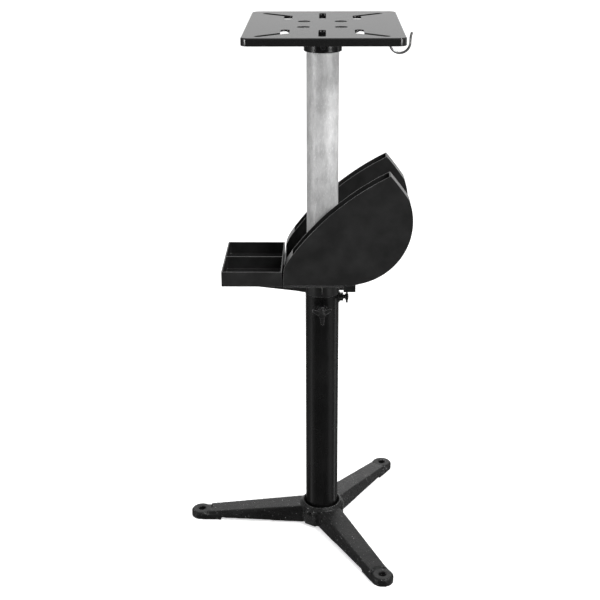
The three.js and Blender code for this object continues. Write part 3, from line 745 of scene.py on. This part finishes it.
def add_hook():
    """J-shaped rod: down from the plate, round under the rim and up outside it, tip flared out."""
    high = span("tool_hook")[1]
    x, z = HOOK_CENTRE
    path = [Vector((x - HOOK_BEND, high.z - 1 - drop)) for drop in (0, 8)]
    path += arc(HOOK_CENTRE, HOOK_BEND, 180, 360, 28)
    flare_from, flare_to = HOOK_FLARE
    rise = Vector((x + HOOK_BEND, z + flare_from))
    path += quadratic(Vector((x + HOOK_BEND, z)), rise, Vector((high.x - HOOK_ROD, z + flare_to)), 8)
    radii = [HOOK_ROD] * len(path)
    radii[-1] = HOOK_ROD * 0.55
    finished(swept("hook_rod", path, radii), "head", STEEL, "bright_steel", "tool_hook", sharp=60)


# ---------------------------------------------------------------- holder: wheel pockets, tray and bracket
def pocket_back(left, bottom, wall, floor):
    """Floor, round back and end wall of a pocket, a wall and a floor inside the outline; ends at the tip."""
    run = (MOUTH_TIP - TIP_BEND).normalized()
    inward = Vector((-run.y, run.x)) * wall
    points = [Vector((left + wall, bottom + floor)), Vector((POCKET_FLAT_TO, bottom + floor))]
    points += arc(DISC, DISC_RADIUS - wall, DISC_FROM, DISC_TO, 48)
    return points + quadratic(points[-1], TIP_BEND + inward, MOUTH_TIP + inward, 10), run


def pocket_outline(left, bottom):
    points, _ = pocket_back(left, bottom, 0, 0)
    chord = MOUTH_TIP - MOUTH_LOW
    radius = (chord.length_squared / 4 + MOUTH_RISE ** 2) / (2 * MOUTH_RISE)
    inward = Vector((chord.y, -chord.x)).normalized()
    centre = (MOUTH_LOW + MOUTH_TIP) / 2 + inward * (radius - MOUTH_RISE)
    angles = [math.degrees(math.atan2(p.y - centre.y, p.x - centre.x)) for p in (MOUTH_TIP, MOUTH_LOW)]
    points += arc(centre, radius, *angles, 24)[1:]
    return points + quadratic(MOUTH_LOW, Vector((left, CORNER_BEND)), Vector((left, CORNER_END)), 8)


def pocket_hollow(left, bottom):
    """The outline's inside, open at the mouth and carried on beyond it."""
    points, run = pocket_back(left, bottom, POCKET_WALL, POCKET_FLOOR)
    beyond = 40
    wall = POCKET_WALL
    low = Vector((MOUTH_LOW.x + wall / 2, MOUTH_LOW.y - wall / 2))
    points.append(points[-1] + run * beyond)
    points.append(Vector((MOUTH_LOW.x - beyond / 2, MOUTH_LOW.y + beyond)))
    points.append(low)
    bend = Vector((left + wall, CORNER_BEND - wall / 2))
    return points + quadratic(low, bend, Vector((left + wall, CORNER_END)), 8)


def beside_disc(low, y_deep, y_past):
    """What is cut away beside the raised disc, whose edge slopes up from y_deep."""
    left, bottom = low.x - 5, low.z - 5
    loops = []
    for y in (y_deep, y_past):
        radius = DISC_RADIUS - abs(y - y_deep) / DISC_PROUD * DISC_RAMP
        outline = arc(DISC, radius, -90, -160, 40)
        outline += [Vector((left, DISC.y)), Vector((left, bottom)), Vector((DISC.x, bottom))]
        loops.append([Vector((p.x, y, p.y)) for p in outline])
    return skinned("step", loops)


def add_pocket(side):
    node_name = f"{side}_wheel_pocket"
    low, high = span(node_name)
    pocket = softened(across(f"{side}_pocket", pocket_outline(low.x, low.z), low.y, high.y), OUTER_EDGE)
    steps = [
        beside_disc(low, low.y + DISC_PROUD, low.y - 5),
        beside_disc(low, high.y - DISC_PROUD, high.y + 5),
    ]
    hollow = across("hollow", pocket_hollow(low.x, low.z), low.y + POCKET_WALL, high.y - POCKET_WALL)
    combined(pocket, [*steps, softened(hollow, HOLLOW_EDGE)])
    finished(softened(pocket, POCKET_RIM), "holder", PLASTIC, "plastic", node_name)


def add_tray():
    low, high = span("tool_tray")
    wall = TRAY_WALL
    outline = rectangle(low.x, high.x, low.y, high.y, TRAY_CORNER)
    tray = softened(raised("holder_tray", outline, low.z, high.z), OUTER_EDGE)
    hollows = []
    for y0, y1 in ((low.y + wall, -wall / 2), (wall / 2, high.y - wall)):
        outline = rectangle(low.x + wall, high.x - wall, y0, y1, BIN_CORNER)
        hollows.append(softened(raised("hollow", outline, low.z + TRAY_FLOOR, high.z + 10), HOLLOW_EDGE))
    softened(combined(tray, hollows), TRAY_RIM)
    finished(tray, "holder", PLASTIC, "plastic", "tool_tray")


def add_bracket():
    bracket = softened(from_cad("holder_frame", "holder_bracket"), OUTER_EDGE, clamp=True)
    finished(bracket, "holder", PLASTIC, "plastic", "holder_bracket")


def add_holder_screw(node_name):
    """A pan-head screw driven up from below."""
    low, high = span(node_name)
    head = [(radius, low.z + height) for radius, height in PAN_HEAD]
    screw = turned(node_name.replace("screw", "fixing"), head + [(PAN_SHANK, high.z)], SMALL)
    combined(screw, [cross_cutter(PAN_RECESS, low.z, up=-1)])
    finished(placed(screw, node_name), "holder", HARDWARE, "black_hardware", node_name, sharp=30)


# ---------------------------------------------------------------- all the pieces
add_column()
add_base()
for lock_screw in LOCKS:
    add_lock(*lock_screw)
add_flange()
add_plate()
for i in range(1, 5):
    add_plate_screw(i)
add_set_screws()
add_hook()
add_pocket("front")
add_pocket("rear")
add_tray()
add_bracket()
for i in range(1, 5):
    add_holder_screw(f"pocket_screw_{i}")
for i in range(1, 3):
    add_holder_screw(f"tray_screw_{i}")


# ---------------------------------------------------------------- floor and backdrop
FLOOR_RADIUS = 30  # metres, as everything from here on
FLOOR_DROP = 0.0002
BACKDROP_RADIUS = 28
BACKDROP_HEIGHT = 40


def plain_material(name, value, glow):
    """A matt grey that also gives off some light of its own."""
    material = bpy.data.materials.new(name)
    material.use_nodes = True
    shader = material.node_tree.nodes["Principled BSDF"]
    shader.inputs["Base Color"].default_value = grey(value)
    shader.inputs["Roughness"].default_value = 0.9
    shader.inputs["Emission Color"].default_value = grey(value)
    shader.inputs["Emission Strength"].default_value = glow
    return material


def add_floor():
    bm = bmesh.new()
    bmesh.ops.create_circle(bm, cap_ends=True, radius=FLOOR_RADIUS, segments=64)
    floor = made("floor", bm)
    floor.location = (0, 0, -FLOOR_DROP)
    floor.data.materials.append(plain_material("floor_white", 0.86, 0.7))
    floor.visible_glossy = False


def add_backdrop():
    """A white wall seen by the camera only, so that it takes no light away and shows in no reflection."""
    bm = bmesh.new()
    bmesh.ops.create_circle(bm, radius=BACKDROP_RADIUS, segments=64)
    lifted = bmesh.ops.extrude_edge_only(bm, edges=bm.edges[:])["geom"]
    top = [part for part in lifted if isinstance(part, bmesh.types.BMVert)]
    bmesh.ops.translate(bm, vec=(0, 0, BACKDROP_HEIGHT), verts=top)
    backdrop = made("backdrop", bm)
    backdrop.data.materials.append(plain_material("backdrop_white", 1, 1))
    backdrop.visible_diffuse = False
    backdrop.visible_glossy = False
    backdrop.visible_shadow = False


add_floor()
add_backdrop()


# ---------------------------------------------------------------- studio light
BACK_FROM, BACK_TO = 2.55, 2.8  # where the bright back wall begins, in radians from the front
GLINT_Z = -0.134  # how far below eye level the low glints are
WALL_BANDS = [(-84, 18, 20, 0.2), (-80, 4, 3, 0.6), (66, 8, 16, 0.4), (108, 4, 3, 1.2)]  # for lit_wall()
LOW_GLINTS = [(-58, 14), (46, 14)]  # for low_glint()

world = bpy.data.worlds.new("studio")
bpy.context.scene.world = world
world.use_nodes = True
sky = world.node_tree
ray = node(sky, "TexCoord").outputs["Generated"]
heading = node(sky, "SeparateXYZ", {0: ray}).outputs
bearing = worked(sky, "ARCTAN2", heading["X"], worked(sky, "MULTIPLY", heading["Y"], -1))


def away_from(value, target):
    return worked(sky, "ABSOLUTE", worked(sky, "SUBTRACT", value, target))


def lit_wall(at, half_width, fade, strength):
    """A bright upright band of the studio's wall, at a bearing from the front, in degrees."""
    away = away_from(bearing, math.radians(at))
    return ranged(sky, away, math.radians(half_width), math.radians(half_width + fade), strength, 0)


def low_glint(at, strength):
    """A small bright patch just below eye level, at a bearing from the front."""
    near_height = ranged(sky, away_from(heading["Z"], GLINT_Z), 0.03, 0.06, 1, 0)
    return times(sky, lit_wall(at, 7, 3, strength), near_height)


def studio_walls():
    """Dim walls in front and at the sides, a bright one at the back, all brighter higher up."""
    round_from_front = worked(sky, "ABSOLUTE", bearing)
    by_height = ranged(sky, heading["Z"], 0.08, 0.6, 0.6, 1.4)
    dim_below = ranged(sky, heading["Z"], -0.1, 0.02, 0.4, 1)
    front = times(sky, ranged(sky, round_from_front, BACK_FROM, BACK_TO, 0.3, 0), dim_below)
    back = ranged(sky, round_from_front, BACK_FROM, BACK_TO, 0, 1)
    back_below = times(sky, back, ranged(sky, heading["Z"], 0.03, 0.09, 0.8, 0))
    walls = times(sky, by_height, worked(sky, "ADD", front, back))
    return worked(sky, "ADD", walls, back_below)


brightness = studio_walls()
for band in WALL_BANDS:
    brightness = worked(sky, "ADD", brightness, lit_wall(*band))
for glint in LOW_GLINTS:
    brightness = worked(sky, "ADD", brightness, low_glint(*glint))
sky.links.new(brightness, sky.nodes["Background"].inputs["Strength"])
sky.nodes["Background"].inputs["Color"].default_value = grey(1)


def softbox(name, place, size, watts):
    """A square lamp aimed at the middle of the column."""
    lamp = bpy.data.lights.new(name, "AREA")
    lamp.shape = "SQUARE"
    lamp.size = size
    lamp.energy = watts
    obj = bpy.data.objects.new(name, lamp)
    bpy.context.scene.collection.objects.link(obj)
    obj.location = AXIS + Vector(place)
    aim = AXIS + Vector((0, 0, 0.5)) - obj.location
    obj.rotation_euler = aim.to_track_quat("-Z", "Y").to_euler()
    obj.visible_camera = False


softbox("top_box", (-0.4, 0.3, 2.6), size=1.6, watts=6)
softbox("key_box", (1.5, -1.5, 2.2), size=0.6, watts=52)

# ---------------------------------------------------------------- camera, angles in degrees
YAW = -1.335
PITCH = 21.205
ROLL = 0.28
LENS = 68.74
CAMERA_AT = Vector((4.81, -1885.33, 1175.74))  # mm, from the foot of the column's axis

camera_data = bpy.data.cameras.new("camera")
camera_data.sensor_width = 36
camera_data.lens = LENS
camera = bpy.data.objects.new("camera", camera_data)
bpy.context.scene.collection.objects.link(camera)
camera.location = AXIS + CAMERA_AT * MM
facing = Matrix.Rotation(-math.radians(YAW), 4, "Z") @ Matrix.Rotation(math.radians(90 - PITCH), 4, "X")
camera.rotation_euler = (facing @ Matrix.Rotation(-math.radians(ROLL), 4, "Z")).to_euler()
bpy.context.scene.camera = camera
bpy.context.scene.view_settings.view_transform = "Standard"
